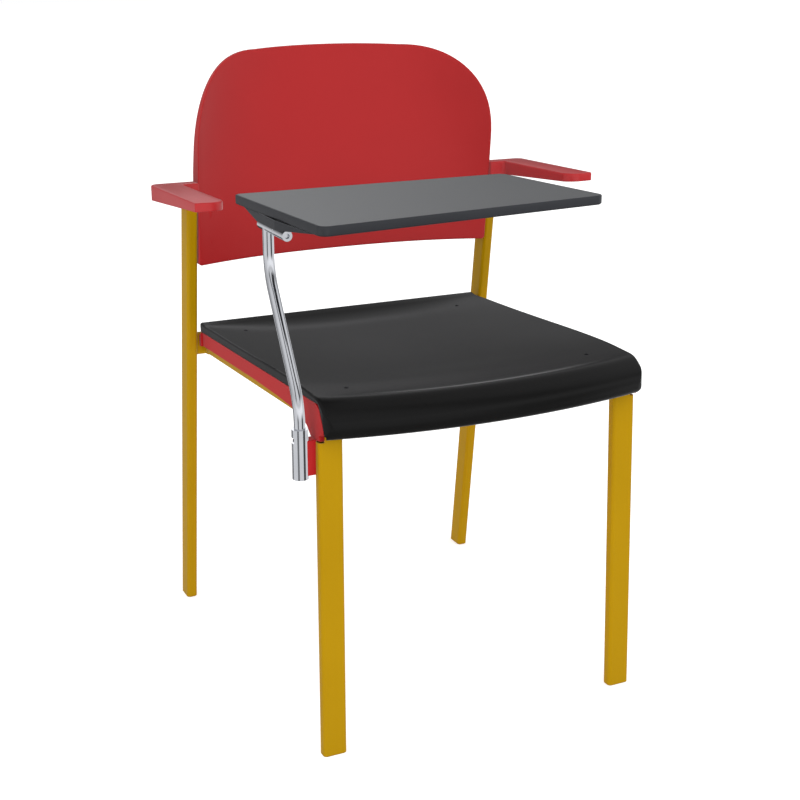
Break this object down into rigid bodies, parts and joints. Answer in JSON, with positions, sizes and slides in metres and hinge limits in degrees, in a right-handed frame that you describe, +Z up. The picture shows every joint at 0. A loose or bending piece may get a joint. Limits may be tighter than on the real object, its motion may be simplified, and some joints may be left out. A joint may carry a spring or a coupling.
{
  "type": "chair with writing tablet",
  "caption": "Four-legged steel-tube chair with a curved plastic back shell, dished seat, short arms and a folding, swinging writing tablet on a bent side tube.",
  "frame": {"origin": "on the floor under the middle of the whole part's bounding box", "axes": "+Z up, -Y the way the sitter looks, +X the sitter's left; the tablet's socket is at -X"},
  "size_m": [0.554, 0.558, 0.7946],
  "materials": {
    "powder_coat_yellow": "glossy yellow powder coat",
    "plastic_red": "fine-grained moulded red plastic",
    "plastic_black": "satin moulded black plastic",
    "plastic_dark_grey": "matt dark grey plastic",
    "board_core": "raw chipboard core",
    "laminate_grey": "satin grey laminate",
    "chrome": "bright chrome plating",
    "zinc": "zinc-plated steel"
  },
  "bodies": {
    "chair": {"front_leg_left": "powder_coat_yellow", "front_leg_right": "powder_coat_yellow", "rear_leg_left": "powder_coat_yellow", "rear_leg_right": "powder_coat_yellow", "side_rail_left": "powder_coat_yellow", "side_rail_right": "powder_coat_yellow", "front_cross_rail": "powder_coat_yellow", "seat_cross_rail": "powder_coat_yellow", "rear_cross_rail": "powder_coat_yellow", "back_bracket_left": "powder_coat_yellow", "back_bracket_right": "powder_coat_yellow", "seat_shell": "plastic_black", "foot_glide_front_left": "plastic_black", "foot_glide_front_right": "plastic_black", "foot_glide_rear_left": "plastic_black", "foot_glide_rear_right": "plastic_black", "socket_plug": "chrome", "seat_pan": "plastic_red", "back_shell": "plastic_red", "arm_left": "plastic_red", "arm_right": "plastic_red", "socket_spacer": "plastic_red", "tablet_socket": "chrome", "seat_screws": "zinc", "back_screws": "zinc", "arm_screws": "zinc", "socket_bolts": "zinc"},
    "support": {"support_tube": "chrome", "index_pin": "chrome", "hinge_barrel": "chrome", "hinge_bushes": "plastic_black"},
    "tablet": {"hinge_pin": "chrome", "tablet_bracket": "chrome", "tablet_housing": "plastic_dark_grey", "tablet_board": "board_core", "tablet_laminate": "laminate_grey", "tablet_edge": "plastic_dark_grey", "tablet_screws": "zinc"}
  },
  "joints": [
    {"name": "tablet_swivel", "type": "hinge", "parent": "chair", "child": "support", "pos_m": [-0.2274, -0.21298, 0.38], "axis": [0, 0, -1], "range_deg": [0, 90]},
    {"name": "tablet_flip", "type": "hinge", "parent": "support", "child": "tablet", "pos_m": [-0.2204, -0.10848, 0.6205], "axis": [0, -1, 0], "range_deg": [0, 90]}
  ]
}
